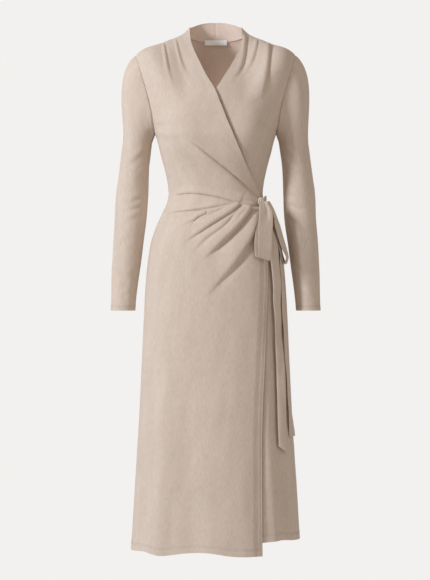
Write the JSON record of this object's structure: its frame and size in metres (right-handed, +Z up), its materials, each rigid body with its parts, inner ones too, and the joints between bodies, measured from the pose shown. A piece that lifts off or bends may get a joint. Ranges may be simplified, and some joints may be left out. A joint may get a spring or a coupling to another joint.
{
  "type": "wrap dress",
  "caption": "Long-sleeved jersey wrap dress in its worn, hollow form: crossed fronts with a V neck, stand collar, gathers that run to a side bow, and a straight midi skirt.",
  "frame": {"origin": "between the shoulders, where the wearer carries the dress, 24 mm above the outer ends of the shoulder seams", "axes": "+Z up, the front faces -Y, +X to the wearer's left"},
  "size_m": [0.5014, 0.2952, 1.269],
  "materials": {
    "jersey": "matte, soft, finely knitted",
    "label_tape": "smooth, matte"
  },
  "bodies": {
    "root": {"overlap_bodice": "jersey", "overlap_skirt": "jersey", "underlap_bodice": "jersey", "underlap_skirt": "jersey", "back_bodice": "jersey", "back_skirt": "jersey", "sleeve_right": "jersey", "sleeve_left": "jersey", "collar_right": "jersey", "collar_left": "jersey", "neck_label": "label_tape", "tie_overlap": "jersey", "tie_side": "jersey", "tie_knot": "jersey", "bow_loop_front": "jersey", "bow_loop_back": "jersey", "tie_tail_long": "jersey", "tie_tail_short": "jersey"}
  },
  "joints": []
}
